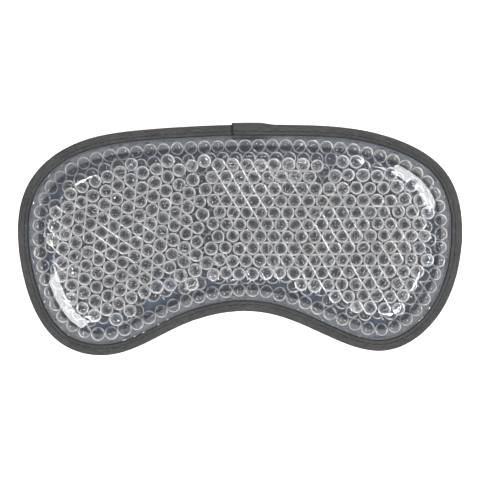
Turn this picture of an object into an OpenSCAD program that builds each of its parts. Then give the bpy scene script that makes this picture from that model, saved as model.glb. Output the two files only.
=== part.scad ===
// Gel bead eye pillow. Two clear films are welded round their edge into a pouch of gel beads.
// The pouch is sewn to a plush backing by a folded binding, whose ends lap at the brow.
// The pillow lies face up: +X is across the eyes, +Y is towards the brow, -Y holds the nose
// notch, and +Z is out of the bead face. The origin is on the resting plane, under the middle.

/* [Overall] */
// Width over the binding, temple to temple
mask_w = 205; // [190:1:220]
// Height over the binding, brow to cheek
mask_h = 106.5; // [100:0.5:114]

/* [Films and backing] */
// Thickness of each clear film
film_t = 0.3; // [0.2:0.05:0.4]
// Thickness of the plush backing under the beads
plush_t = 2; // [1.5:0.1:2.5]
// Thickness of the plush where the binding squeezes it
plush_rim_t = 0.9; // [0.7:0.1:1.2]
// Height of the backing's upper face at the sewn edge
rim_z = 4.2; // [4:0.1:5]

/* [Binding] */
// Width of the binding on each face
binding_w = 5; // [4.5:0.1:5.5]
// Thickness of the binding tape
tape_t = 0.5; // [0.4:0.05:0.6]
// Share of the way round, from the right temple, at which the tape's hidden end lies
lap_at = 0.2117; // [0.2:0.0001:0.25]
// Length over which the tape's ends lap
lap_len = 12; // [8:1:16]

/* [Stitching] */
// Distance of the stitch line from the pillow's edge
stitch_inset = 3.2; // [2.8:0.1:3.6]
// Length of one stitch
stitch_len = 3; // [2.5:0.1:3.5]
// Diameter of the sewing thread
thread_d = 0.36; // [0.25:0.01:0.4]

/* [Beads] */
// Diameter of the largest gel bead
bead_d = 6.1; // [5.9:0.1:6.2]
// Share by which the smallest bead is smaller
bead_spread = 0.1; // [0.05:0.01:0.14]
// Inset of the row of beads that follows the edge
first_row = 10; // [10:0.1:10.4]
// Least inset of a bead in the upper layer
upper_row = 16.5; // [16:0.5:20]
// Direction of the bead rows in the left and the right half, in degrees
bead_rows = [24, 0]; // [0:1:60]

/* [Hidden] */

film_colour = [0.86, 0.89, 0.92, 0.35];
gel_colour = [0.80, 0.84, 0.88, 0.60];
plush_colour = [0.27, 0.32, 0.39];
binding_colour = [0.25, 0.25, 0.25];
thread_colour = [0.20, 0.20, 0.20];

bead_r = bead_d / 2;
hair = 0.05;                              // clearance between neighbouring solids
bead_pitch = bead_d + 0.15;               // spacing of the beads in a row
row_pitch = bead_pitch * sin(60);
weld_end = binding_w + 0.5;               // inset at which the films part
shoulder_w = 4.5;                         // width over which the backing drops to its full depth
dome_w = 19;                              // width over which the front film rises to its full height
dome_power = 4.5;                         // how steeply it leaves the weld
two_bead_t = bead_d * 1.8 + 0.4;          // room between the films over two layers of beads
laminate_inset = tape_t + 0.25;           // the films and the backing end inside the tape's fold

// ---------- Outline ----------

// Control points of the closed cubic spline that the binding's edge follows, brow side first
outline_hull = [
    [105, 13], [93, 39], [58, 52], [23, 53], [-9, 53], [-44, 51], [-78, 47], [-104, 25],
    [-103, -14], [-89, -50], [-56, -57], [-26, -36], [10, -30], [39, -44], [69, -57], [99, -32]
];
spans = len(outline_hull);
span_steps = 7;
edge_n = spans * span_steps;

function hull_point(i) = outline_hull[(i + spans) % spans];

function spline_weights(t) = [
    pow(1 - t, 3), 3 * pow(t, 3) - 6 * t * t + 4, -3 * pow(t, 3) + 3 * t * t + 3 * t + 1, pow(t, 3)
] / 6;

function spline_slopes(t) = [
    -pow(1 - t, 2), 3 * t * t - 4 * t, -3 * t * t + 2 * t + 1, t * t
] / 2;

function blended(u, weights) =
    let (i = floor(u))
    [for (k = [0:3]) weights[k]] * [for (k = [0:3]) hull_point(i + k - 1)];

function raw_point(u) = blended(u, spline_weights(u - floor(u)));

raw_loop = [for (i = [0:edge_n - 1]) raw_point(i / span_steps)];
raw_low = [min([for (p = raw_loop) p.x]), min([for (p = raw_loop) p.y])];
raw_high = [max([for (p = raw_loop) p.x]), max([for (p = raw_loop) p.y])];
to_size = [mask_w / (raw_high.x - raw_low.x), mask_h / (raw_high.y - raw_low.y)];

// The edge at u spans from the right temple, and its unit normal away from the pillow
function edge_point(u) =
    let (p = raw_point(u % spans) - (raw_low + raw_high) / 2)
    [p.x * to_size.x, p.y * to_size.y];

function edge_normal(u) =
    let (v = u % spans, s = blended(v, spline_slopes(v - floor(v))), t = [s.x * to_size.x, s.y * to_size.y])
    [t.y, -t.x] / norm(t);

function inset_point(u, inset) = edge_point(u) - edge_normal(u) * inset;

edge = [for (i = [0:edge_n - 1]) edge_point(i / span_steps)];

function segment_distance(p, a, b) =
    let (ab = b - a, t = max(0, min(1, (p - a) * ab / (ab * ab))))
    norm(p - a - ab * t);

function edge_distance(p) =
    min([for (i = [0:edge_n - 1]) segment_distance(p, edge[i], edge[(i + 1) % edge_n])]);

function crosses(p, a, b) =
    (a.y > p.y) != (b.y > p.y) && p.x < (b.x - a.x) * (p.y - a.y) / (b.y - a.y) + a.x ? 1 : 0;

function within(p) =
    total([for (i = [0:edge_n - 1]) crosses(p, edge[i], edge[(i + 1) % edge_n])]) % 2 == 1;

// Sum of a list, or zero if it is empty
function total(list, zero = 0) = len(list) == 0 ? zero : [for (x = list) 1] * list;

// ---------- Section of the pouch ----------

function swell(x) = x <= 0 ? 0 : x >= 1 ? 1 : sin(90 * x);
function ease(x) = x <= 0 ? 0 : x >= 1 ? 1 : x * x * (3 - 2 * x);
function opened(inset) = swell((inset - weld_end) / shoulder_w);

function domed(inset) = 1 - pow(1 - max(0, min(1, (inset - weld_end) / dome_w)), dome_power);

// Heights of the backing's upper face and of the front film's lower face at an inset
function floor_z(inset) = rim_z + (plush_t - rim_z) * opened(inset);
function roof_z(inset) = floor_z(inset) + film_t + two_bead_t * domed(inset);
function backing_t(inset) = plush_rim_t + (plush_t - plush_rim_t) * opened(inset);

// ---------- Sheets ----------

// A ring of a sheet: its inset, and its share of the way from there to the spine
shoulder_rings = [for (x = [0:5]) [weld_end + shoulder_w * x / 5, 0]];
floor_rings = concat([[laminate_inset, 0]], shoulder_rings);
roof_rings = concat(floor_rings, [for (share = [0.1, 0.19, 0.28, 0.37, 0.5]) [weld_end + shoulder_w, share]]);
spine_end = 15;                           // edge points on each side of a temple that share a spine point

// Edge points pair up across the pillow, and the middles of the pairs are its spine
function spine_index(i) = max(spine_end, min(edge_n / 2 - spine_end, min(i, edge_n - i)));
function spine_point(i) = (edge[spine_index(i)] + edge[edge_n - spine_index(i)]) / 2;

function ring_point(i, ring) =
    let (p = inset_point(i / span_steps, ring[0]))
    p + (spine_point(i) - p) * ring[1];

spine = [for (i = [spine_end:edge_n / 2 - spine_end]) spine_point(i)];

function sheet_plan(rings) =
    concat([for (ring = rings) for (i = [0:edge_n - 1]) ring_point(i, ring)], spine);

// Triangles of one face of a sheet, whose points are its rings and then its spine
function strip_faces(ring) = [
    for (i = [0:edge_n - 1])
    let (a = ring * edge_n + i, b = ring * edge_n + (i + 1) % edge_n)
    each [[a, b, b + edge_n], [a, b + edge_n, a + edge_n]]
];

function spine_faces(rings_n) = [
    for (i = [0:edge_n - 1])
    let (
        j = (i + 1) % edge_n,
        a = (rings_n - 1) * edge_n + i,
        b = (rings_n - 1) * edge_n + j,
        c = rings_n * edge_n + spine_index(j) - spine_end,
        d = rings_n * edge_n + spine_index(i) - spine_end
    )
    each (c == d ? [[a, b, c]] : [[a, b, c], [a, c, d]])
];

// A closed sheet between two heights, each a function of the inset
module sheet(rings, below, above) {
    plan = sheet_plan(rings);
    insets = [for (p = plan) edge_distance(p)];
    count = len(plan);
    lower = [for (i = [0:count - 1]) [plan[i].x, plan[i].y, below(insets[i])]];
    upper = [for (i = [0:count - 1]) [plan[i].x, plan[i].y, above(insets[i])]];
    top = concat([for (k = [0:len(rings) - 2]) each strip_faces(k)], spine_faces(len(rings)));
    wall = [
        for (i = [0:edge_n - 1])
        let (j = (i + 1) % edge_n)
        each [[i, j, j + count], [i, j + count, i + count]]
    ];
    // Each face runs clockwise as it is seen from outside
    polyhedron(
        points = concat(lower, upper),
        faces = concat(
            top,
            [for (f = top) [f[2] + count, f[1] + count, f[0] + count]],
            [for (f = wall) [f[2], f[1], f[0]]]
        )
    );
}

module front_film() {
    color(film_colour)
    sheet(roof_rings, function (x) roof_z(x), function (x) roof_z(x) + film_t);
}

module back_film() {
    color(film_colour)
    sheet(floor_rings, function (x) floor_z(x), function (x) floor_z(x) + film_t);
}

module plush_backing() {
    color(plush_colour)
    sheet(floor_rings, function (x) floor_z(x) - backing_t(x), function (x) floor_z(x));
}

// ---------- Binding ----------

fold_steps = 6;
tape_below = rim_z - plush_rim_t - hair;  // the tape's inner faces, round the laminate
tape_above = rim_z + 2 * film_t + hair;
lap_lift = tape_t + 0.25;                 // how far the lapping end stands off the laminate
lap_ramp = 8;                             // length over which it climbs there
loop_len = total([for (i = [0:edge_n - 1]) norm(edge[(i + 1) % edge_n] - edge[i])]);

// Length along the edge from the right temple, against spans, for lookup()
edge_lengths = [for (
    i = 0, run = 0;
    i <= 2 * edge_n;
    run = run + norm(edge[(i + 1) % edge_n] - edge[i % edge_n]), i = i + 1
) [run, i / span_steps]];

function span_at(run) = lookup(run, edge_lengths);

// The folded tape's section, as [inset, height], lifted off the laminate by lift
function tape_section(lift) =
    let (
        low = tape_below - lift,
        high = tape_above + lift,
        middle = (low + high) / 2,
        half = (high - low) / 2 + tape_t,
        fold = tape_t - lift
    )
    concat(
        [[binding_w, low], [fold, low], [fold, high], [binding_w, high], [binding_w, high + tape_t]],
        [for (k = [0:fold_steps])
            let (turn = 90 - 180 * k / fold_steps)
            [half - lift - half * cos(turn), middle + half * sin(turn)]],
        [[binding_w, low - tape_t]]
    );

tape_start = lap_at * loop_len;
tape_end = tape_start + loop_len + lap_len;
tape_runs = concat(
    [for (k = [0:edge_n - 1]) tape_start + (loop_len - lap_ramp) * k / (edge_n - 1)],
    [tape_start + loop_len - lap_ramp / 2, tape_start + loop_len],
    [for (k = [1:3]) tape_start + loop_len + lap_len * k / 3]
);

function lap_share(run) = ease((run - tape_start - loop_len + lap_ramp) / lap_ramp);

module edge_binding() {
    sections = [for (run = tape_runs)
        [for (q = tape_section(lap_lift * lap_share(run)))
            let (p = inset_point(span_at(run), q[0]))
            [p.x, p.y, q[1]]]];
    round_n = len(sections[0]);
    last = (len(sections) - 1) * round_n;
    skin = [
        for (s = [0:len(sections) - 2])
        for (k = [0:round_n - 1])
        let (a = s * round_n + k, b = s * round_n + (k + 1) % round_n)
        each [[a, b, b + round_n], [a, b + round_n, a + round_n]]
    ];
    // Each end of the tape is closed as strips between the fold's inner and outer sides
    end_strips = [[0, 1, 12], [1, 11, 12], [1, 10, 11], [1, 9, 10], [1, 2, 9], [2, 8, 9], [2, 7, 8],
                  [2, 6, 7], [2, 5, 6], [2, 3, 5], [3, 4, 5]];
    color(binding_colour)
    polyhedron(
        points = [for (s = sections) each s],
        faces = concat(
            skin,
            [for (f = end_strips) [f[2], f[1], f[0]]],
            [for (f = end_strips) [f[0] + last, f[1] + last, f[2] + last]]
        )
    );
}

// ---------- Stitching ----------

stitch_n = floor(loop_len / stitch_len);
stitch_gap = 0.5;                         // the thread is out of sight in its hole for this length

// One stitch of a row, lying on a face of the tape at height z
module stitch(k, z) {
    run = (k + 0.5) * loop_len / stitch_n;
    long = loop_len / stitch_n - stitch_gap;
    on_lap = run > tape_start - lap_ramp - stitch_len && run < tape_start + lap_len + stitch_len;
    lift = on_lap ? lap_lift : 0;
    p = inset_point(span_at(run), stitch_inset);
    n = edge_normal(span_at(run));
    translate([p.x, p.y, z + sign(z - rim_z) * lift])
    rotate([0, 90, atan2(n.x, -n.y)])
    rotate_extrude()
    polygon([
        [0, -long / 2], [thread_d / 4, -long / 2], [thread_d / 2, -long / 2 + thread_d],
        [thread_d / 2, long / 2 - thread_d], [thread_d / 4, long / 2], [0, long / 2]
    ]);
}

module stitch_row(z) {
    color(thread_colour)
    for (k = [0:stitch_n - 1]) stitch(k, z);
}

module needle_thread() {
    stitch_row(tape_above + tape_t + thread_d / 2 + hair);
}

module bobbin_thread() {
    stitch_row(tape_below - tape_t - thread_d / 2 - hair);
}

// ---------- Beads ----------

zone_edge = 34;                           // the middle zone reaches this far each side of x = 0
grain_edge = -18;                         // where the two directions of bead rows meet
lattice_reach = 20;                       // beads each side of the middle, along and across the rows
settle_turns = 80;
squeeze = 0.75;                           // beads that start nearer than this many diameters can't be eased apart
bead_scatter = 0.35;                      // how far beads stray from their rows

function turned(p, angle) = [p.x * cos(angle) - p.y * sin(angle), p.x * sin(angle) + p.y * cos(angle)];

// Close-packed rows at an angle, over x between two limits and at least inset inside the edge
function rows_of_beads(angle, shift, inset, x_low, x_high) = [
    for (row = [-lattice_reach:lattice_reach])
    for (col = [-lattice_reach:lattice_reach])
    let (p = turned([(col + (row % 2) / 2) * bead_pitch, row * row_pitch] + shift, angle))
    if (p.x >= x_low && p.x < x_high && abs(p.y) < mask_h / 2 && within(p) && edge_distance(p) >= inset)
    p
];

function both_grains(shift, inset) = concat(
    rows_of_beads(bead_rows[0], shift, inset, -mask_w / 2, grain_edge),
    rows_of_beads(bead_rows[1], shift, inset, grain_edge, mask_w / 2)
);

// The row that follows the edge, evenly spaced along its own line
function first_row_beads() =
    let (
        line = [for (i = [0:edge_n]) inset_point(i / span_steps, first_row)],
        runs = [for (
            i = 0, run = 0;
            i <= edge_n;
            run = run + (i < edge_n ? norm(line[i + 1] - line[i]) : 0), i = i + 1
        ) [run, i / span_steps]],
        length = runs[edge_n][0],
        count = floor(length / bead_pitch)
    )
    [for (k = [0:count - 1]) inset_point(lookup(length * k / count, runs), first_row)];

// Beads nearer than a pitch push each other apart. The first fixed ones stay where they are.
function push_on(i, beads, near) = total(
    [for (j = near[i])
        let (away = beads[i] - beads[j], gap = bead_d + hair - norm(away))
        if (gap > 0) away / norm(away) * gap / 2],
    [0, 0]
);

function settled(beads, near, fixed, turns) =
    turns == 0 ? beads
    : settled(
        [for (i = [0:len(beads) - 1]) i < fixed ? beads[i] : beads[i] + push_on(i, beads, near)],
        near, fixed, turns - 1
    );

function neighbours(beads) = [
    for (p = beads)
    [for (j = [0:len(beads) - 1]) let (d = norm(p - beads[j])) if (d > 0 && d < 1.5 * bead_d) j]
];

// Keeps each bead that is at least so far from those already kept
function kept(beads, least, i = 0, some = []) =
    i == len(beads) ? some
    : kept(beads, least, i + 1, min([2 * bead_d, for (q = some) norm(q - beads[i])]) < least
        ? some : concat(some, [beads[i]]));

function scattered(beads, seed) =
    let (d = rands(-bead_scatter, bead_scatter, 2 * len(beads), seed))
    [for (i = [0:len(beads) - 1]) beads[i] + [d[2 * i], d[2 * i + 1]]];

// Packs an edge row, which stays in place, and the loose beads that fit inside it
function packed(edge_row, loose, seed) =
    let (
        beads = kept(concat(edge_row, scattered(loose, seed)), squeeze * bead_d),
        rest = settled(beads, neighbours(beads), len(edge_row), settle_turns)
    )
    kept(rest, (1 - bead_spread) * bead_d + hair);

// Each bead is as large as its neighbours leave room for, up to a size of its own
function radii(beads, seed) =
    let (near = neighbours(beads), own = rands(1 - bead_spread, 1, len(beads), seed))
    [for (i = [0:len(beads) - 1])
        min([own[i] * bead_r, for (j = near[i]) (norm(beads[i] - beads[j]) - hair) / 2])];

// The lower layer rests on the back film
function lower_layer() =
    let (
        edge_row = first_row_beads(),
        flat = packed(edge_row, both_grains([0, 0], first_row + row_pitch * 0.85), 5),
        r = radii(flat, 11)
    )
    [for (i = [0:len(flat) - 1]) [flat[i].x, flat[i].y, plush_t + film_t + hair + r[i], r[i]]];

// Height at which a bead dropped at p comes to rest on the layer below
function rest_z(p, r, below) = max(concat(
    [plush_t + film_t + hair + r],
    [for (b = below)
        let (reach = r + b[3] + hair, d = norm(p - [b.x, b.y]))
        if (d < reach) b.z + sqrt(reach * reach - d * d)]
));

// Beads of the upper layer that clear the front film
function upper_layer(below) =
    let (
        hollow = [bead_pitch / 2, row_pitch / 3],
        flat = packed([], both_grains(hollow, upper_row), 7),
        r = radii(flat, 23)
    )
    [for (i = [0:len(flat) - 1])
        let (z = rest_z(flat[i], r[i], below))
        if (clears_roof(edge_distance(flat[i]), z, r[i]))
        [flat[i].x, flat[i].y, z, r[i]]];

function clears_roof(inset, z, r) =
    min([for (dx = [-r:r / 4:r]) norm([dx, roof_z(inset + dx) - z])]) > r + hair;

module beads(layer, x_low, x_high) {
    color(gel_colour)
    for (b = layer)
        if (b.x >= x_low && b.x < x_high)
            translate([b.x, b.y, b.z]) sphere(r = b[3], $fn = 32);
}

module lower_beads_left() beads(lower_layer(), -mask_w, -zone_edge);
module lower_beads_middle() beads(lower_layer(), -zone_edge, zone_edge);
module lower_beads_right() beads(lower_layer(), zone_edge, mask_w);
module upper_beads_left() beads(upper_layer(lower_layer()), -mask_w, -zone_edge);
module upper_beads_middle() beads(upper_layer(lower_layer()), -zone_edge, zone_edge);
module upper_beads_right() beads(upper_layer(lower_layer()), zone_edge, mask_w);

front_film();
back_film();
plush_backing();
edge_binding();
needle_thread();
bobbin_thread();
lower_beads_left();
lower_beads_middle();
lower_beads_right();
upper_beads_left();
upper_beads_middle();
upper_beads_right();
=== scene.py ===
"""Eye pillow: clear gel beads in a film pouch, sewn to a plush backing by a folded woven binding.

All lengths are in metres, in the CAD frame: +X across the eyes, +Y towards the brow, +Z out of
the bead side. An inset is a distance inside the pillow's edge.
"""

import math

import bmesh
import bpy
import numpy as np
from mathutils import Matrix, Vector


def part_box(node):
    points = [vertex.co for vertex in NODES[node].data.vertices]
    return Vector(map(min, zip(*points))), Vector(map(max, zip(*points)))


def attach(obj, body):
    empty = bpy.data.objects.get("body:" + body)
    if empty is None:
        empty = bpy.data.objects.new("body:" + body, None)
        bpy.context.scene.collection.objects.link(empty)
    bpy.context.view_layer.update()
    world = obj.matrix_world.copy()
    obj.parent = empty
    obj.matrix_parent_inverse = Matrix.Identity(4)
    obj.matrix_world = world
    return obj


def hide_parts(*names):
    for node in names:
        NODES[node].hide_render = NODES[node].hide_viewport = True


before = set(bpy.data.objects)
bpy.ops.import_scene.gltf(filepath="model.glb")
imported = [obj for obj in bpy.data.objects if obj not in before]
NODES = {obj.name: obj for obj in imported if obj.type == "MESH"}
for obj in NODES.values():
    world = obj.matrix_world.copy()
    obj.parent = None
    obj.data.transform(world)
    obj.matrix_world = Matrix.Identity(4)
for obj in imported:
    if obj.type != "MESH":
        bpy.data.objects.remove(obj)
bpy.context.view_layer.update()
MM = 0.001
RNG = np.random.default_rng(7)

# ---------------------------------------------------------------- sizes

MASK_SIZE = np.array([205.0, 106.5]) * MM
TAPE_W = 5.0 * MM            # the binding's width on each face
TAPE_T = 0.5 * MM
STITCH_INSET = 3.2 * MM
STITCH_LEN = 3.0 * MM
LAP_LEN = 12.0 * MM
LAP_RAMP = 8.0 * MM          # length over which the tape's later end climbs onto the earlier one
LAP_AT = 0.2117              # share of the way round at which the tape's hidden end lies
CUT_INSET = 1.0 * MM         # inset at which the two films and the plush are cut
WELD_END = 5.5 * MM          # inset at which the two films part
SHOULDER_W = 4.5 * MM        # width over which the backing drops to its full depth
FILM_T = 0.3 * MM

backing_low, backing_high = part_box("back_film")
RIM_Z = backing_high.z - FILM_T
PLUSH_T = backing_low.z
WELD_Z = RIM_Z + 0.62 * MM   # height of the front film where it is welded

# ---------------------------------------------------------------- outline

# The control points of the closed cubic spline that the binding's edge follows, as in the CAD
OUTLINE_HULL = np.array([
    (105, 13), (93, 39), (58, 52), (23, 53), (-9, 53), (-44, 51), (-78, 47), (-104, 25),
    (-103, -14), (-89, -50), (-56, -57), (-26, -36), (10, -30), (39, -44), (69, -57), (99, -32),
], float)
SPANS = len(OUTLINE_HULL)
SCALE_STEPS = 2000           # points round the outline that set its scale
RUN_STEPS = 4001             # points round the outline that set its length
INSET_STEPS = 900            # points round the outline that insets are measured from


def spline(u):
    """Points and tangents of the unscaled closed spline at u spans from the right temple."""
    u = np.asarray(u) % SPANS
    i = np.floor(u).astype(int)
    t = (u - i)[..., None]
    p = [OUTLINE_HULL[(i + k) % SPANS] for k in (-1, 0, 1, 2)]
    w = [(1 - t) ** 3, 3 * t**3 - 6 * t**2 + 4, -3 * t**3 + 3 * t**2 + 3 * t + 1, t**3]
    s = [-((1 - t) ** 2), 3 * t**2 - 4 * t, -3 * t**2 + 2 * t + 1, t**2]
    return sum(a * b for a, b in zip(w, p)) / 6, sum(a * b for a, b in zip(s, p)) / 2


unscaled = spline(np.linspace(0, SPANS, SCALE_STEPS, endpoint=False))[0]
OUTLINE_LOW, OUTLINE_HIGH = unscaled.min(0), unscaled.max(0)
TO_SIZE = MASK_SIZE / (OUTLINE_HIGH - OUTLINE_LOW)


def edge_at(u):
    """The edge's points and their unit normals, pointing out of the pillow."""
    point, slope = spline(u)
    slope = slope * TO_SIZE
    normal = np.stack([slope[..., 1], -slope[..., 0]], -1)
    normal /= np.linalg.norm(normal, axis=-1, keepdims=True)
    return (point - (OUTLINE_LOW + OUTLINE_HIGH) / 2) * TO_SIZE, normal


def lengths_along(points):
    """Length of a line of points from its start to each of them."""
    return np.concatenate([[0], np.cumsum(np.linalg.norm(np.diff(points, axis=0), axis=1))])


RUN_SPANS = np.linspace(0, SPANS, RUN_STEPS)
RUNS = lengths_along(edge_at(RUN_SPANS)[0])
LOOP_LEN = RUNS[-1]


def edge_by_length(run):
    """The edge's points and normals at a length round it from the right temple."""
    return edge_at(np.interp(np.asarray(run) % LOOP_LEN, RUNS, RUN_SPANS))


def inset_of(points):
    """How far each point is inside the edge; negative outside it."""
    line = edge_by_length(np.linspace(0, LOOP_LEN, INSET_STEPS, endpoint=False))[0]
    ahead = np.roll(line, -1, 0)
    best = np.full(len(points), np.inf)
    inside = np.zeros(len(points), bool)
    for a, b, d in zip(line, ahead, ahead - line):
        t = np.clip(((points - a) @ d) / (d @ d), 0, 1)
        best = np.minimum(best, np.linalg.norm(points - a - t[:, None] * d, axis=1))
        span = (a[1] > points[:, 1]) != (b[1] > points[:, 1])
        if span.any():
            cross_x = a[0] + (points[:, 1] - a[1]) * d[0] / d[1]
            inside ^= span & (points[:, 0] < cross_x)
    return np.where(inside, best, -best)


# ---------------------------------------------------------------- helpers


def smoothstep(x):
    """0 below 0, 1 above 1, and a smooth rise between them."""
    x = np.clip(x, 0, 1)
    return x * x * (3 - 2 * x)


def value_noise(points, size, seed):
    """Smooth noise from -1 to 1 at 2-D points, with features about size across."""
    cells = 64
    table = np.random.default_rng(seed).uniform(-1, 1, (cells, cells))
    p = points / size
    i = np.floor(p).astype(int)
    f = smoothstep(p - i)
    a, b = i[..., 0] % cells, i[..., 1] % cells
    a1, b1 = (a + 1) % cells, (b + 1) % cells
    fx, fy = f[..., 0], f[..., 1]
    return ((table[a, b] * (1 - fx) + table[a1, b] * fx) * (1 - fy)
            + (table[a, b1] * (1 - fx) + table[a1, b1] * fx) * fy)


def new_mesh(name, verts, faces, smooth=True, uvs=None):
    """A mesh of faces that all have the same number of sides."""
    mesh = bpy.data.meshes.new(name)
    verts = np.asarray(verts, np.float32)
    faces = np.asarray(faces, np.int32)
    sides = faces.shape[1]
    mesh.vertices.add(len(verts))
    mesh.vertices.foreach_set("co", verts.ravel())
    mesh.loops.add(faces.size)
    mesh.loops.foreach_set("vertex_index", faces.ravel())
    mesh.polygons.add(len(faces))
    mesh.polygons.foreach_set("loop_start", np.arange(0, faces.size, sides, dtype=np.int32))
    mesh.polygons.foreach_set("loop_total", np.full(len(faces), sides, np.int32))
    mesh.update(calc_edges=True)
    mesh.validate()
    mesh.polygons.foreach_set("use_smooth", np.full(len(mesh.polygons), smooth))
    if uvs is not None:
        layer = mesh.uv_layers.new(name="UVMap")
        layer.data.foreach_set("uv", np.asarray(uvs, np.float32)[faces.ravel()].ravel())
    return mesh


def tube_faces(count, sides):
    """Quads of a tube of count rings, each with sides vertices that follow one another."""
    i, j = np.meshgrid(np.arange(count - 1), np.arange(sides), indexing="ij")
    a, b = i * sides + j, i * sides + (j + 1) % sides
    return np.stack([a, b, b + sides, a + sides], -1).reshape(-1, 4)


def close_ends(mesh, split=False):
    """Closes a mesh's open ends with one face each, which split cuts into triangles."""
    bm = bmesh.new()
    bm.from_mesh(mesh)
    bmesh.ops.holes_fill(bm, edges=[e for e in bm.edges if e.is_boundary], sides=0)
    if split:
        bmesh.ops.triangulate(bm, faces=[f for f in bm.faces if len(f.verts) > 4])
    bm.to_mesh(mesh)
    bm.free()


def new_piece(name, mesh, material, node):
    """A visible piece that stands for one CAD node."""
    piece = bpy.data.objects.new(name, mesh)
    bpy.context.scene.collection.objects.link(piece)
    mesh.materials.append(material)
    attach(piece, "root")
    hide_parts(node)
    return piece


def level_grid(step, margin=0.0):
    """A grid over the pillow: its x and y values, its points and their insets."""
    half = MASK_SIZE / 2
    xs = np.arange(-half[0] - margin, half[0] + margin + step, step)
    ys = np.arange(-half[1] - margin, half[1] + margin + step, step)
    points = np.stack(np.meshgrid(xs, ys, indexing="ij"), -1)
    return xs, ys, points, inset_of(points.reshape(-1, 2)).reshape(len(xs), len(ys))


def grid_mesh(inset, xs, ys, z):
    """Verts and quads of a height field over the grid cells that lie inside the layers' cut."""
    inside = inset > CUT_INSET
    index = np.full(inside.shape, -1)
    cells = inside[:-1, :-1] & inside[1:, :-1] & inside[:-1, 1:] & inside[1:, 1:]
    used = np.zeros(inside.shape, bool)
    for dx in (0, 1):
        for dy in (0, 1):
            used[dx:dx + cells.shape[0], dy:dy + cells.shape[1]] |= cells
    index[used] = np.arange(used.sum())
    gx, gy = np.meshgrid(xs, ys, indexing="ij")
    verts = np.stack([gx[used], gy[used], z[used]], 1)
    i, j = np.nonzero(cells)
    quads = np.stack([index[i, j], index[i + 1, j], index[i + 1, j + 1], index[i, j + 1]], 1)
    return verts, quads


# ---------------------------------------------------------------- section of the pouch


def opened(inset):
    """How far the pouch has opened, from 0 at the weld to 1 at its full depth."""
    return np.sin(np.pi / 2 * np.clip((inset - WELD_END) / SHOULDER_W, 0, 1))


def floor_z(inset):
    """Height of the plush's upper face."""
    return RIM_Z + (PLUSH_T - RIM_Z) * opened(inset)


# ---------------------------------------------------------------- beads

BEAD_NODES = [f"{layer}_beads_{zone}" for layer in ("lower", "upper")
              for zone in ("left", "middle", "right")]
SWELL = 1.06                 # how far a bead bulges where nothing presses it
UNEVEN = 0.07                # how far a bead is from round
AXIS_SHARE = 0.33            # keeps an uneven bead's volume about the same
BEAD_GAP = 0.012 * MM        # half the gap between two pressed beads
BED_Z = PLUSH_T + 0.34 * MM  # the beads lie no lower, so they clear the back film
STIR = 1.3 * MM              # how far the loose beads have rolled from their even rows
STIR_SEED = 11
SPREAD = 1.08                # how far apart they slide, to fill the room behind the first row
SLIDE_ROUNDS = 60
SLIDE_SHARE = 0.25           # share of an overlap that a bead slides off in one round
FIRST_ROW = 10.5 * MM        # inset inside which the beads lie along the weld and stay put


def balls_of(node):
    """Centre and radius of each bead in a CAD node, whose beads' vertices follow one another."""
    mesh = NODES[node].data
    co = np.empty(len(mesh.vertices) * 3, np.float32)
    mesh.vertices.foreach_get("co", co)
    co = co.reshape(-1, 3).astype(float)
    corner = np.empty(len(mesh.loops), np.int32)
    mesh.loops.foreach_get("vertex_index", corner)
    corner = corner.reshape(-1, 3)
    cover = np.zeros(len(co) + 1, int)
    np.add.at(cover, corner.min(1), 1)
    np.add.at(cover, corner.max(1), -1)
    last = np.flatnonzero(np.cumsum(cover)[:-1] == 0)
    first = np.concatenate([[0], last[:-1] + 1])
    balls = []
    for a, b in zip(first, last + 1):
        low, high = co[a:b].min(0), co[a:b].max(0)
        balls.append([*(low + high) / 2, (high - low).max() / 2])
    return np.array(balls)


def settle(balls):
    """The loose beads, stirred a little and then slid apart level until they fill the pouch."""
    place, radius = balls[:, :3].copy(), balls[:, 3]
    loose = inset_of(place[:, :2]) > FIRST_ROW
    rng = np.random.default_rng(STIR_SEED)
    place[loose, :2] += rng.uniform(-STIR, STIR, (loose.sum(), 2))
    reach = (radius[:, None] + radius) * SPREAD
    for _ in range(SLIDE_ROUNDS):
        away = place[:, None] - place
        dist = np.linalg.norm(away, axis=2) + np.eye(len(place))
        push = np.maximum(reach / dist - 1, 0) * (dist < reach)
        np.fill_diagonal(push, 0)
        place[loose, :2] += SLIDE_SHARE * (push[:, :, None] * away).sum(1)[loose, :2]
    return np.column_stack([place, radius])


cad_balls = [balls_of(node) for node in BEAD_NODES]
ALL_BALLS = settle(np.concatenate(cad_balls))
node_ends = np.cumsum([len(balls) for balls in cad_balls])[:-1]
BALLS = dict(zip(BEAD_NODES, np.split(ALL_BALLS, node_ends)))


def unit_ball(divisions):
    """Verts and triangles of a ball of radius 1."""
    bm = bmesh.new()
    bmesh.ops.create_icosphere(bm, subdivisions=divisions, radius=1.0)
    verts = np.array([v.co[:] for v in bm.verts])
    faces = np.array([[v.index for v in f.verts] for f in bm.faces])
    bm.free()
    return verts, faces


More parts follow.
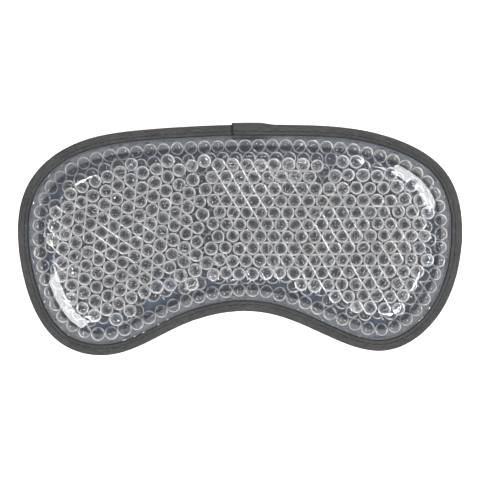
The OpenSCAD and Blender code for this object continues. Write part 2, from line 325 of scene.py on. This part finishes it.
def gel_beads(name, node, material):
    """Soft balls, a little uneven, that press flat where they meet their neighbours."""
    dirs, tris = unit_ball(3)
    verts, faces = [], []
    for ball in BALLS[node]:
        centre, r = ball[:3], ball[3] * SWELL
        axis = RNG.normal(size=3)
        axis /= np.linalg.norm(axis)
        stretch = 1 + RNG.uniform(-UNEVEN, UNEVEN) * ((dirs @ axis) ** 2 - AXIS_SHARE)
        p = dirs * (r * stretch)[:, None]
        away = ALL_BALLS[:, :3] - centre
        dist = np.linalg.norm(away, axis=1)
        near = (dist > 0) & (dist < r + ALL_BALLS[:, 3] * SWELL + 2 * BEAD_GAP)
        for d, v, other in zip(dist[near], away[near], ALL_BALLS[near, 3]):
            limit = d * ball[3] / (ball[3] + other) - BEAD_GAP
            n = v / d
            p -= np.maximum(p @ n - limit, 0)[:, None] * n
        p[:, 2] = np.maximum(p[:, 2], BED_Z - centre[2])
        faces.append(tris + len(verts) * len(dirs))
        verts.append(p + centre)
    mesh = new_mesh(name, np.concatenate(verts), np.concatenate(faces))
    return new_piece(name, mesh, material, node)


# ---------------------------------------------------------------- front film

FILM_STEP = 0.65 * MM
FILM_LIFT = 0.10 * MM        # how far the film's middle is above the beads' tops
FILM_CLEAR = 0.45 * MM       # how far the film stays above the plush
FILM_PRESS = 0.060           # the film's pull down between beads, as curvature per millimetre
START_RISE = 9 * MM          # height and width of the dome that the film starts from
START_RUN = 16 * MM
DRAPE_ROUNDS = 900
DRAPE_SHARE = 0.85           # share of the way to its neighbours' mean that a point moves in a round
ROW_PULL = 5.0               # how much tauter the film is along the bead rows than across them
PULL_FROM = 12 * MM          # inset at which that pull begins, and the width over which it grows
PULL_RUN = 10 * MM
GRAIN_EDGE = -18 * MM        # where the bead rows change direction, and the width of the change
GRAIN_BLEND = 16 * MM
LEFT_TURN = -36.0            # the rows' direction in each part, in degrees from +X
RIGHT_TURN = -60.0
RIPPLE = 0.03 * MM           # height of the film's ripple, and the insets between which it shows
RIPPLE_FROM = 5 * MM
RIPPLE_TO = 8 * MM
RIPPLE_FADE = 6 * MM
SHOULDER_STEPS = 200
# How steep the film stands, in degrees, at lengths in from the weld where it bridges the first beads
SHOULDER_RUN = np.array([0, 1.5, 4.5, 5.3, 9.5, 14.0]) * MM
SHOULDER_TILT = np.array([0, 55, 55, 27, 21, 0])


def bead_roof(points):
    """Height of the beads' upper envelope over a grid."""
    gx, gy = points[..., 0], points[..., 1]
    roof = np.full(gx.shape, -1.0)
    x0, y0 = points[0, 0]
    for x, y, z, radius in ALL_BALLS:
        r = radius * SWELL + FILM_LIFT
        i0, i1 = int((x - r - x0) / FILM_STEP), int((x + r - x0) / FILM_STEP) + 2
        j0, j1 = int((y - r - y0) / FILM_STEP), int((y + r - y0) / FILM_STEP) + 2
        part = (slice(i0, i1), slice(j0, j1))
        d2 = r * r - (gx[part] - x) ** 2 - (gy[part] - y) ** 2
        top = np.where(d2 > 0, z + np.sqrt(np.maximum(d2, 0)), -1.0)
        roof[part] = np.maximum(roof[part], top)
    return roof


def shoulder_z(inset):
    """Height of the film's own bend between the weld and the top of the pouch."""
    run = np.linspace(0, SHOULDER_RUN[-1], SHOULDER_STEPS)
    slope = np.tan(np.radians(np.interp(run, SHOULDER_RUN, SHOULDER_TILT)))
    rise = np.concatenate([[0], np.cumsum((slope[1:] + slope[:-1]) / 2 * np.diff(run))])
    return WELD_Z + np.interp(inset - WELD_END, run, rise)


def drape(points, inset):
    """Lays the film over the beads: a taut skin that is held at the weld and pulled down."""
    held = inset <= WELD_END
    lowest = np.maximum(bead_roof(points), floor_z(inset) + FILM_CLEAR)
    lowest = np.maximum(lowest, shoulder_z(inset))
    dome = WELD_Z + START_RISE * smoothstep((inset - WELD_END) / START_RUN)
    z = np.where(held, WELD_Z, np.maximum(lowest, dome))
    side = smoothstep((points[..., 0] - GRAIN_EDGE) / GRAIN_BLEND + 0.5)
    turn = np.radians(LEFT_TURN * (1 - side) + RIGHT_TURN * side)
    pull = ROW_PULL * smoothstep((inset - PULL_FROM) / PULL_RUN)
    cx, cy = np.cos(turn), np.sin(turn)
    kxx, kyy, kxy = 1 + pull * cx * cx, 1 + pull * cy * cy, pull * cx * cy
    press = FILM_PRESS / MM * FILM_STEP**2 * (1 + pull)
    for _ in range(DRAPE_ROUNDS):
        east, west = np.roll(z, -1, 0), np.roll(z, 1, 0)
        north, south = np.roll(z, -1, 1), np.roll(z, 1, 1)
        cross = np.roll(east, -1, 1) - np.roll(east, 1, 1) - np.roll(west, -1, 1) + np.roll(west, 1, 1)
        total = kxx * (east + west) + kyy * (north + south) + 2 * kxy * cross / 4 - press
        mean = total / (2 * (kxx + kyy))
        z = np.where(held, WELD_Z, np.maximum(lowest, (1 - DRAPE_SHARE) * z + DRAPE_SHARE * mean))
    return z


def front_film(material):
    """The clear sheet over the beads, with a faint ripple on its shoulder."""
    xs, ys, points, inset = level_grid(FILM_STEP, FILM_STEP)
    z = drape(points, inset)
    ripple = value_noise(points, size=7 * MM, seed=3) + 0.5 * value_noise(points, size=3 * MM, seed=4)
    begins = smoothstep((inset - RIPPLE_FROM) / MM)
    fades = 1 - smoothstep((inset - RIPPLE_TO) / RIPPLE_FADE)
    verts, quads = grid_mesh(inset, xs, ys, z + RIPPLE * ripple * begins * fades)
    mesh = new_mesh("front_film", verts, quads)
    return new_piece("clear_front_film", mesh, material, "front_film")


# ---------------------------------------------------------------- back film and plush

SHEET_STEP = 1.0 * MM
PLUSH_GAP = 0.05 * MM        # gap above and below the plush
SEWN_T = 0.85 * MM           # the plush's thickness where it is sewn down
PILE_DEPTH = 0.13 * MM


def back_film(material):
    """The clear sheet under the beads."""
    xs, ys, _, inset = level_grid(SHEET_STEP)
    verts, quads = grid_mesh(inset, xs, ys, floor_z(inset) + FILM_T / 2)
    mesh = new_mesh("back_film", verts, quads)
    return new_piece("clear_back_film", mesh, material, "back_film")


def plush_backing(material):
    """The cloth under the pouch, with its pile side bulging down."""
    xs, ys, points, inset = level_grid(SHEET_STEP)
    top = floor_z(inset) - PLUSH_GAP
    thick = SEWN_T + (PLUSH_T - SEWN_T - 2 * PLUSH_GAP) * opened(inset)
    pile = value_noise(points, size=2.2 * MM, seed=21) + 0.6 * value_noise(points, size=1.1 * MM, seed=22)
    bottom = np.maximum(top - thick + PILE_DEPTH * pile * opened(inset), 0.0)
    upper, quads = grid_mesh(inset, xs, ys, top)
    lower, _ = grid_mesh(inset, xs, ys, bottom)
    count = len(upper)
    edges = np.concatenate([quads[:, [k, (k + 1) % 4]] for k in range(4)])
    keys = {tuple(e) for e in edges.tolist()}
    rim = np.array([e for e in keys if (e[1], e[0]) not in keys])
    wall = np.stack([rim[:, 1], rim[:, 0], rim[:, 0] + count, rim[:, 1] + count], 1)
    mesh = new_mesh("plush_backing", np.concatenate([upper, lower]),
                    np.concatenate([quads, quads[:, ::-1] + count, wall]))
    return new_piece("plush_backing_cloth", mesh, material, "plush_backing")


# ---------------------------------------------------------------- binding

SECTION_STEP = 0.6 * MM
LEG_STEPS = 11               # points across each face of the tape's section, and round its fold
FOLD_STEPS = 13
LAP_LIFT = TAPE_T + 0.45 * MM
LAYERS_LOW = RIM_Z - 0.95 * MM   # the layers that the tape is folded round lie between these
LAYERS_HIGH = RIM_Z + 0.65 * MM
PUFF = 0.16 * MM             # how far the tape bulges between its edge and the fold
PUFF_SHAPE = 0.8
GROOVE = 0.20 * MM           # how deep the stitching pulls the tape in, and how that varies
GROOVE_BEAT = 0.05 * MM
GROOVE_W = 0.42 * MM
LIP = 0.13 * MM              # how far the tape's edge is rounded out
INNER_BEND = 0.5 * MM
INNER_FLAT = 3 * MM
STRAY = 0.12 * MM            # how far the tape's edge wanders
STRAY_FROM = 2.5 * MM        # inset from which it does
FRAY = 0.12 * MM             # how uneven the tape's cut ends are


def stitch_count():
    """How many stitches go round the edge."""
    return math.floor(LOOP_LEN / STITCH_LEN)


def tape_section(lift, groove):
    """The folded tape's section as rows of (inset, height), first its outside and then its inside."""
    low, high = LAYERS_LOW - lift, LAYERS_HIGH + lift
    middle, half = (low + high) / 2, (high - low) / 2 + TAPE_T
    legs = np.linspace(TAPE_W, half - lift, LEG_STEPS)
    share = np.clip((TAPE_W - legs) / (TAPE_W - half + lift), 0, 1)
    crown = PUFF * np.sin(np.pi * share) ** PUFF_SHAPE
    bulge = crown - groove * np.exp(-((legs - STITCH_INSET) / GROOVE_W) ** 2)
    turn = np.linspace(np.pi / 2, -np.pi / 2, FOLD_STEPS)[1:-1]
    fold = TAPE_T - lift
    return np.concatenate([
        np.stack([legs, high + TAPE_T + bulge], 1),
        np.stack([half - lift - half * np.cos(turn), middle + half * np.sin(turn)], 1),
        np.stack([legs[::-1], low - TAPE_T - bulge[::-1]], 1),
        [[TAPE_W + LIP, low - TAPE_T / 2]],
        [[TAPE_W, low], [INNER_FLAT, low], [fold + INNER_BEND, low], [fold, middle]],
        [[fold + INNER_BEND, high], [INNER_FLAT, high], [TAPE_W, high]],
        [[TAPE_W + LIP, high + TAPE_T / 2]],
    ])


def edge_binding(material):
    """One tape folded round the edge. Its ends lap at the brow, the later end outermost."""
    start = LAP_AT * LOOP_LEN
    total = LOOP_LEN + LAP_LEN
    runs = np.linspace(0, total, int(total / SECTION_STEP))
    wander = value_noise(np.stack([runs, 0 * runs], 1), size=9 * MM, seed=31)
    verts, uvs = [], []
    for run, stray in zip(runs, wander):
        lift = LAP_LIFT * float(smoothstep((run - LOOP_LEN + LAP_RAMP) / LAP_RAMP))
        beat = math.cos(2 * math.pi * (start + run) * stitch_count() / LOOP_LEN)
        section = tape_section(lift, GROOVE + GROOVE_BEAT * beat)
        across = lengths_along(section)
        near_edge = np.clip((section[:, 0] - STRAY_FROM) / (TAPE_W - STRAY_FROM), 0, 1)
        section[:, 0] += STRAY * stray * near_edge
        point, normal = edge_by_length(start + run)
        xy = point - normal * section[:, :1]
        verts.append(np.concatenate([xy, section[:, 1:]], 1))
        uvs.append(np.stack([np.full(len(section), run), across], 1))
    sides, count = len(verts[0]), len(runs)
    fray = np.random.default_rng(5).uniform(-FRAY, FRAY, sides)
    for end, way in ((0, -1), (count - 1, 1)):
        ahead = verts[end][0, :2] - verts[end - way][0, :2]
        verts[end][:, :2] += fray[:, None] * ahead / np.linalg.norm(ahead)
    mesh = new_mesh("edge_binding", np.concatenate(verts), tube_faces(count, sides),
                    uvs=np.concatenate(uvs))
    close_ends(mesh, split=True)
    return new_piece("edge_binding_tape", mesh, material, "edge_binding")


# ---------------------------------------------------------------- stitching

THREAD_R = 0.17 * MM
PLIES = 2
PLY_DEEP = 0.20              # depth of the groove between the plies, as a share of the thread
END_THIN = 0.45              # how much thinner a stitch is where it enters its hole
END_SHARE = 0.25             # share of a stitch over which each end thins
TWIST_TURNS = 2.2            # turns of the plies along one stitch
THREAD_RINGS = 13
THREAD_SIDES = 10
THREAD_SINK = 0.04 * MM      # how far the thread is pressed into the tape
HOLE_GAP = 0.25 * MM         # gap between one stitch's end and the next one's start
ARCH = 0.22 * MM             # how far a stitch arches up between its ends
ARCH_SHAPE = 0.6
END_DIP = 0.16 * MM          # how far its ends dip into the holes
STITCH_STRAY = 0.04 * MM


def thread_row(name, node, side, material):
    """Lockstitches on one face of the tape, each an arched two-ply length of thread between holes."""
    pitch = LOOP_LEN / stitch_count()
    face = LAYERS_HIGH + TAPE_T if side > 0 else LAYERS_LOW - TAPE_T
    t = np.linspace(0, 1, THREAD_RINGS)
    ring = np.arange(THREAD_SIDES) * 2 * np.pi / THREAD_SIDES
    twist = ring + 2 * np.pi * TWIST_TURNS * t[:, None]
    taper = 1 - END_THIN + END_THIN * np.minimum(1, np.minimum(t, 1 - t) / END_SHARE)
    plied = THREAD_R * (1 - PLY_DEEP + PLY_DEEP * np.abs(np.cos(twist * PLIES / 2))) * taper[:, None]
    arch = ARCH * np.sin(np.pi * t) ** ARCH_SHAPE - END_DIP
    quads = tube_faces(THREAD_RINGS, THREAD_SIDES)
    verts, faces = [], []
    for k in range(stitch_count()):
        run = (k + 0.5) * pitch + (t - 0.5) * (pitch - HOLE_GAP)
        beyond = (run[THREAD_RINGS // 2] - LAP_AT * LOOP_LEN) % LOOP_LEN
        climb = smoothstep((beyond - LOOP_LEN + LAP_RAMP) / LAP_RAMP) if beyond > LAP_LEN else 1.0
        point, normal = edge_by_length(run)
        xy = point - normal * (STITCH_INSET + RNG.normal(0, STITCH_STRAY))
        z = face + side * (LAP_LIFT * climb + arch - THREAD_SINK)
        level = xy[:, None, :] + normal[:, None, :] * (plied * np.cos(ring))[..., None]
        height = z[:, None] + plied * np.sin(ring)
        faces.append(quads + len(verts) * THREAD_RINGS * THREAD_SIDES)
        verts.append(np.concatenate([level, height[..., None]], 2).reshape(-1, 3))
    mesh = new_mesh(name, np.concatenate(verts), np.concatenate(faces))
    close_ends(mesh)
    return new_piece(name, mesh, material, node)


# ---------------------------------------------------------------- materials


class Nodes:
    """A material's node tree, built by short calls."""

    def __init__(self, name):
        self.material = bpy.data.materials.new(name)
        self.material.use_nodes = True
        self.tree = self.material.node_tree
        self.tree.nodes.clear()
        self.output = self.add("OutputMaterial")

    def add(self, kind, **values):
        """A node, with values for its settings or its sockets."""
        node = self.tree.nodes.new("ShaderNode" + kind)
        for key, value in values.items():
            if hasattr(node, key):
                setattr(node, key, value)
            else:
                self.feed(node.inputs[key.replace("_", " ")], value)
        return node

    def feed(self, socket, value):
        """Links a socket to another one, or sets its value."""
        if isinstance(value, bpy.types.NodeSocket):
            self.tree.links.new(value, socket)
        else:
            socket.default_value = value

    def math(self, operation, *values):
        """The result of an operation on sockets or numbers."""
        node = self.add("Math", operation=operation)
        for socket, value in zip(node.inputs, values):
            self.feed(socket, value)
        return node.outputs[0]

    def ramp(self, value, *stops):
        """A colour ramp. A stop is a position and a colour, or a number for a grey."""
        node = self.add("ValToRGB")
        self.feed(node.inputs[0], value)
        while len(node.color_ramp.elements) < len(stops):
            node.color_ramp.elements.new(0.5)
        for element, (position, colour) in zip(node.color_ramp.elements, stops):
            grey = isinstance(colour, float)
            element.position = position
            element.color = (colour, colour, colour, 1.0) if grey else (*colour, 1.0)
        return node.outputs[0]

    def noise(self, vector, scale, detail=3.0, roughness=0.5):
        """Noise from 0 to 1, with scale cells to a metre."""
        node = self.add("TexNoise", Scale=scale, Detail=detail, Roughness=roughness)
        self.feed(node.inputs["Vector"], vector)
        return node.outputs["Fac"]

    def bump(self, height, distance, strength=1.0):
        """A normal for a relief whose height of 1 stands distance high."""
        node = self.add("Bump", Strength=strength, Distance=distance)
        self.feed(node.inputs["Height"], height)
        return node.outputs[0]

    def place(self):
        """The point on the surface, in metres."""
        return self.add("TexCoord").outputs["Object"]

    def split(self, vector):
        """The three parts of a vector."""
        node = self.add("SeparateXYZ")
        self.feed(node.inputs[0], vector)
        return node.outputs

    def finish(self, surface):
        """Puts the surface on the material and returns it."""
        self.tree.links.new(surface, self.output.inputs["Surface"])
        return self.material


# How clear a bead is, from where it faces the eye to its rim, where its skin turns milky
LOWER_RIM = (0.34, 1.0), (0.58, 0.72), (0.84, 0.15)
UPPER_RIM = (0.10, 1.0), (0.30, 0.88), (0.50, 0.76), (0.60, 0.30), (0.80, 0.10)
RIM_MOTTLE = 0.6             # how far the milky rim wanders
GEL_TINTS = (0.3, (0.91, 0.89, 0.875)), (0.7, (0.97, 0.955, 0.94))


def gel_material(name, rim):
    """Water-swollen gel: clear in the middle, with a milky rim, small dents and a faint clouding."""
    n = Nodes(name)
    cloud = n.noise(n.place(), scale=180.0, detail=2.0)
    mottle = n.noise(n.place(), scale=420.0, detail=2.0)
    dents = n.noise(n.place(), scale=520.0, detail=2.0)
    dented = n.bump(dents, distance=0.6 * MM, strength=0.8)
    shader = n.add("BsdfPrincipled", Roughness=0.015, IOR=1.35)
    n.feed(shader.inputs["Base Color"], n.ramp(cloud, *GEL_TINTS))
    n.feed(shader.inputs["Normal"], dented)
    facing = n.add("LayerWeight", Blend=0.5, Normal=dented)
    wander = n.math("MULTIPLY_ADD", mottle, RIM_MOTTLE, facing.outputs["Facing"])
    clear = n.ramp(n.math("SUBTRACT", wander, RIM_MOTTLE / 2), *rim)
    n.feed(shader.inputs["Transmission Weight"], clear)
    return n.finish(shader.outputs[0])


ROW_PITCH = 5.37 * MM
CREASE_W = 0.18 * MM
WRINKLE_OFF = 0.2            # depth of the film's fine wrinkles off the beads and on top of them
WRINKLE_ON_BEADS = 0.5
CREASE_DEEP = 1.5            # depth of a crease on the same scale
CREASE_STRAY = 2.0 * MM      # how far a crease wanders from its row
CREASE_SHIFT = 1.0 * MM      # how far the creases lie beside the middle of the gaps between rows
HEIGHT_UNIT = 50.0           # turns a height into a share of 20 mm
CREASE_HEIGHTS = (0.60, 0.0), (0.66, 1.0)
CREASE_PATCHES = (0.42, 0.10), (0.62, 1.0)
# How hazy the front film is against its height: at the weld, clear of the beads, and on them
FILM_HAZE = (0.26, 0.045), (0.33, 0.0), (0.54, 0.0), (0.64, 0.012)
VINYL_TINT = (0.95, 0.965, 0.98, 1)
HAZE_TINT = (0.9, 0.91, 0.92, 1)
GLOSS_SHARE = 0.8            # share of a thick pane's reflection that the film shows


def row_phase(degrees, side):
    """Where the bead rows of one part lie, across the rows' direction."""
    turn = math.radians(degrees)
    beads = np.concatenate([BALLS[node] for node in BEAD_NODES[3:]])
    beads = beads[(beads[:, 0] - GRAIN_EDGE) * side > 0]
    across = -beads[:, 0] * math.sin(turn) + beads[:, 1] * math.cos(turn)
    return float(np.angle(np.exp(2j * np.pi * across / ROW_PITCH).sum())) * ROW_PITCH / (2 * math.pi)


def row_creases(n, degrees, side):
    """Narrow valleys in the film between the bead rows of one part, from 1 on the flat to 0."""
    turn = math.radians(degrees)
    x, y, _ = n.split(n.place())
    across = n.math("ADD", n.math("MULTIPLY", x, -math.sin(turn)), n.math("MULTIPLY", y, math.cos(turn)))
    stray = n.math("MULTIPLY", n.noise(n.place(), scale=35.0, detail=1.0), CREASE_STRAY)
    shift = ROW_PITCH / 2 - row_phase(degrees, side) - CREASE_SHIFT
    along = n.math("ADD", n.math("ADD", across, stray), shift)
    swing = n.math("SINE", n.math("MULTIPLY", along, math.pi / ROW_PITCH))
    swing = n.math("MULTIPLY", swing, ROW_PITCH / (math.pi * CREASE_W))
    square = n.math("MULTIPLY", swing, swing)
    return n.math("SUBTRACT", 1.0, n.math("EXPONENT", n.math("MULTIPLY", square, -1.0)))


def creased(n, wrinkles, height):
    """Wrinkles that grow on top of the beads, where creases in patches between the rows join them."""
    mix = n.add("Mix")
    n.feed(mix.inputs[0], n.math("GREATER_THAN", n.split(n.place())[0], GRAIN_EDGE))
    n.feed(mix.inputs[2], row_creases(n, LEFT_TURN, -1))
    n.feed(mix.inputs[3], row_creases(n, RIGHT_TURN, 1))
    patch = n.ramp(n.noise(n.place(), scale=45.0, detail=1.0), *CREASE_PATCHES)
    on_beads = n.ramp(height, *CREASE_HEIGHTS)
    crease = n.math("MULTIPLY", mix.outputs[0], n.math("MULTIPLY", patch, on_beads))
    depth = n.math("MULTIPLY_ADD", on_beads, WRINKLE_ON_BEADS - WRINKLE_OFF, WRINKLE_OFF)
    wrinkle = n.math("MULTIPLY", wrinkles, depth)
    return n.math("ADD", wrinkle, n.math("MULTIPLY", crease, CREASE_DEEP))


def film_material(name, front):
    """Clear glossy vinyl: it lets light straight through and reflects as a thin sheet does."""
    n = Nodes(name)
    surface = n.noise(n.place(), scale=260.0, detail=2.0)
    haze = n.add("MixShader", Fac=0.0)
    if front:
        height = n.math("MULTIPLY", n.split(n.place())[2], HEIGHT_UNIT)
        surface = creased(n, surface, height)
        n.feed(haze.inputs[0], n.ramp(height, *FILM_HAZE))
    n.feed(haze.inputs[1], n.add("BsdfTransparent", Color=VINYL_TINT).outputs[0])
    n.feed(haze.inputs[2], n.add("BsdfDiffuse", Color=HAZE_TINT).outputs[0])
    bump = n.bump(surface, distance=0.12 * MM, strength=0.6)
    gloss = n.add("BsdfAnisotropic", distribution="GGX", Roughness=0.06, Color=(1, 1, 1, 1), Normal=bump)
    fresnel = n.add("Fresnel", IOR=1.52, Normal=bump)
    mix = n.add("MixShader")
    n.feed(mix.inputs[0], n.math("MULTIPLY", fresnel.outputs[0], GLOSS_SHARE))
    n.feed(mix.inputs[1], haze.outputs[0])
    n.feed(mix.inputs[2], gloss.outputs[0])
    return n.finish(mix.outputs[0])


def cloth_shader(n, colour, normal, roughness, specular):
    """A rough shader for cloth and thread, with its colour and its fine relief."""
    shader = n.add("BsdfPrincipled", Roughness=roughness, Normal=normal)
    shader.inputs["Specular IOR Level"].default_value = specular
    n.feed(shader.inputs["Base Color"], colour)
    return shader


CLUMP_SHARE = 0.7            # share of the plush's mottling that is fine; the rest is broad
PLUSH_TONES = (0.32, (0.040, 0.060, 0.092)), (0.68, (0.082, 0.112, 0.152))


def plush_material():
    """Slate short-pile plush: mottled, with a soft sheen."""
    n = Nodes("plush")
    clumps = n.noise(n.place(), scale=420.0, detail=4.0, roughness=0.65)
    broad = n.noise(n.place(), scale=60.0, detail=2.0)
    tone = n.math("ADD", n.math("MULTIPLY", clumps, CLUMP_SHARE),
                  n.math("MULTIPLY", broad, 1 - CLUMP_SHARE))
    relief = n.bump(clumps, distance=0.4 * MM, strength=0.8)
    shader = cloth_shader(n, n.ramp(tone, *PLUSH_TONES), relief, roughness=0.95, specular=0.2)
    shader.inputs["Sheen Weight"].default_value = 0.35
    shader.inputs["Sheen Roughness"].default_value = 0.5
    return n.finish(shader.outputs[0])


RIB_PITCH = 0.72 * MM        # the tape's weave, along it and across it
YARN_PITCH = 0.62 * MM
WEAVE_DEEP = 0.5             # depths of the weave, its finer ribs and the lint on it
RIBS_DEEP = 0.25
LINT_DEEP = 0.9
RELIEF_TONE = 0.16           # how much that relief, the yarn's streaks and broad stains tint the tape
STREAK_TONE = 0.75
STAIN_TONE = 0.25
STREAK_SHAPE = 0.12          # width of a yarn's streak as a share of its length
SHADED_EDGE = 0.35 * MM      # width of the shaded strip along the tape's edge
SHADED_CUT = 0.7 * MM        # width of the shaded strip at its cut end
SHADE = 0.25                 # how bright the shaded strips are
TAPE_TONES = ((0.15, (0.003, 0.003, 0.003)), (0.45, (0.010, 0.010, 0.0102)),
              (0.85, (0.042, 0.042, 0.043)))


def binding_material():
    """Charcoal woven tape: ribs across the tape, fine ends along it, and a little lint."""
    n = Nodes("binding")
    along, across, _ = n.split(n.add("TexCoord").outputs["UV"])

    def wave(value, pitch):
        """A wave from -1 to 1 that repeats at each pitch."""
        return n.math("SINE", n.math("MULTIPLY", value, 2 * math.pi / pitch))

    weave = n.math("MULTIPLY", wave(along, RIB_PITCH), wave(across, YARN_PITCH))
    fine_ribs = n.math("MULTIPLY", wave(along, RIB_PITCH / 2), RIBS_DEEP)
    ribs = n.math("ADD", n.math("MULTIPLY", weave, WEAVE_DEEP), fine_ribs)
    lint = n.noise(n.place(), scale=1500.0, detail=3.0, roughness=0.7)
    broad = n.noise(n.place(), scale=90.0, detail=3.0)
    streaks = n.add("CombineXYZ", X=n.math("MULTIPLY", along, STREAK_SHAPE), Y=across)
    slub = n.noise(streaks.outputs[0], scale=2200.0, detail=3.0, roughness=0.7)
    height = n.math("ADD", ribs, n.math("MULTIPLY", lint, LINT_DEEP))
    cloth = n.math("ADD", n.math("MULTIPLY", height, RELIEF_TONE), n.math("MULTIPLY", slub, STREAK_TONE))
    tone = n.math("ADD", cloth, n.math("MULTIPLY", broad, STAIN_TONE))
    inner = n.math("GREATER_THAN", across, SHADED_EDGE)
    uncut = n.math("LESS_THAN", along, LOOP_LEN + LAP_LEN - SHADED_CUT)
    shade = n.math("MULTIPLY_ADD", n.math("MULTIPLY", inner, uncut), 1 - SHADE, SHADE)
    colour = n.ramp(n.math("MULTIPLY", tone, shade), *TAPE_TONES)
    relief = n.bump(height, distance=0.12 * MM, strength=0.7)
    shader = cloth_shader(n, colour, relief, roughness=0.85, specular=0.2)
    shader.inputs["Sheen Weight"].default_value = 0.03
    return n.finish(shader.outputs[0])


THREAD_TONES = (0.3, (0.002, 0.002, 0.002)), (0.7, (0.009, 0.009, 0.0095))


def thread_material():
    """Dull black spun thread."""
    n = Nodes("thread")
    fibre = n.noise(n.place(), scale=2500.0, detail=2.0, roughness=0.6)
    relief = n.bump(fibre, distance=0.05 * MM, strength=0.6)
    shader = cloth_shader(n, n.ramp(fibre, *THREAD_TONES), relief, roughness=0.8, specular=0.15)
    return n.finish(shader.outputs[0])


def floor_material():
    """Plain pale paint."""
    n = Nodes("floor")
    grain = n.noise(n.place(), scale=40.0, detail=2.0)
    shader = n.add("BsdfPrincipled", Roughness=0.9)
    shader.inputs["Specular IOR Level"].default_value = 0.0
    n.feed(shader.inputs["Base Color"], n.ramp(grain, (0.0, 0.93), (1.0, 0.95)))
    return n.finish(shader.outputs[0])


# ---------------------------------------------------------------- stage, light and camera

CAMERA_Z = 1.2
FRAME_W = 0.2212             # width of the picture at the height of the pillow's rim
SENSOR_W = 36                # in millimetres
CLIP_NEAR, CLIP_FAR = 0.05, 20
FLOOR_HALF = 4
FLOOR_Z = -0.2 * MM
SKY_LOW, SKY_HIGH = 0.55, 0.32   # brightness of the walls and of what is overhead
SKY_EDGE = 0.90              # height on the unit sphere at which the one turns into the other
SKY_BLEND = 0.06
LAMP_DISTANCE = 1.0
# Name, azimuth anticlockwise from +X and elevation in degrees, width and height, and power in watts
LAMPS = (
    ("upper_right_box", 37, 42, (0.72, 0.38), 14.5),
    ("lower_left_box", 219, 42, (0.72, 0.38), 14.5),
    ("high_left_box", 130, 64, (0.10, 0.10), 4),
    ("high_right_box", 340, 62, (0.10, 0.10), 4),
    ("high_front_box", 240, 60, (0.08, 0.08), 2.5),
    ("low_front_box", 310, 50, (0.26, 0.26), 6),
)


def make_camera():
    """A long lens straight above, with the pillow filling the frame's width as in a catalogue picture."""
    data = bpy.data.cameras.new("camera")
    data.sensor_width = SENSOR_W
    data.lens = SENSOR_W * (CAMERA_Z - RIM_Z) / FRAME_W
    data.clip_start, data.clip_end = CLIP_NEAR, CLIP_FAR
    camera = bpy.data.objects.new("camera", data)
    camera.location = (0, 0, CAMERA_Z)
    bpy.context.scene.collection.objects.link(camera)
    bpy.context.scene.camera = camera


def soft_box(name, azimuth, elevation, size, power):
    """A rectangular lamp that faces the pillow."""
    a, e = math.radians(azimuth), math.radians(elevation)
    data = bpy.data.lights.new(name, "AREA")
    data.shape = "RECTANGLE"
    data.size, data.size_y = size
    data.energy = power
    lamp = bpy.data.objects.new(name, data)
    away = Vector((math.cos(a) * math.cos(e), math.sin(a) * math.cos(e), math.sin(e)))
    lamp.location = away * LAMP_DISTANCE
    lamp.rotation_mode = "QUATERNION"
    lamp.rotation_quaternion = away.to_track_quat("Z", "Y")
    lamp.visible_camera = False
    bpy.context.scene.collection.objects.link(lamp)


def make_stage():
    """A plain floor just under the pillow."""
    far = FLOOR_HALF
    verts = [(-far, -far, 0), (far, -far, 0), (far, far, 0), (-far, far, 0)]
    floor = bpy.data.objects.new("floor", new_mesh("floor", verts, [[0, 1, 2, 3]], smooth=False))
    floor.location.z = FLOOR_Z
    bpy.context.scene.collection.objects.link(floor)
    floor.data.materials.append(floor_material())


def make_sky():
    """Pale walls of light all round, brighter low down than overhead."""
    world = bpy.data.worlds.new("studio")
    bpy.context.scene.world = world
    world.use_nodes = True
    tree = world.node_tree
    background = tree.nodes["Background"]
    coords = tree.nodes.new("ShaderNodeTexCoord")
    split = tree.nodes.new("ShaderNodeSeparateXYZ")
    blend = tree.nodes.new("ShaderNodeMapRange")
    blend.interpolation_type = "SMOOTHSTEP"
    blend.inputs["From Min"].default_value = SKY_EDGE - SKY_BLEND
    blend.inputs["From Max"].default_value = SKY_EDGE + SKY_BLEND
    blend.inputs["To Min"].default_value = SKY_LOW
    blend.inputs["To Max"].default_value = SKY_HIGH
    tree.links.new(coords.outputs["Generated"], split.inputs[0])
    tree.links.new(split.outputs["Z"], blend.inputs["Value"])
    tree.links.new(blend.outputs[0], background.inputs[1])
    background.inputs[0].default_value = (1.0, 1.0, 1.0, 1)


# ---------------------------------------------------------------- assembly

make_camera()
make_stage()
make_sky()
for lamp in LAMPS:
    soft_box(*lamp)

gels = {"lower": gel_material("lower_gel", LOWER_RIM), "upper": gel_material("upper_gel", UPPER_RIM)}
plush = plush_backing(plush_material())
film = front_film(film_material("clear_film", True))
backing_film = back_film(film_material("back_clear_film", False))
tape = edge_binding(binding_material())
thread = thread_material()
thread_row("needle_thread_stitches", "needle_thread", 1, thread)
thread_row("bobbin_thread_stitches", "bobbin_thread", -1, thread)
for bead_node in BEAD_NODES:
    gel_beads(bead_node.replace("beads", "gel_beads"), bead_node, gels[bead_node[:5]])

scene = bpy.context.scene
scene.view_settings.view_transform = "Standard"
scene.cycles.max_bounces = 32
scene.cycles.transmission_bounces = 28
scene.cycles.transparent_max_bounces = 24
scene.cycles.sample_clamp_indirect = 6.0
scene.cycles.use_denoising = True
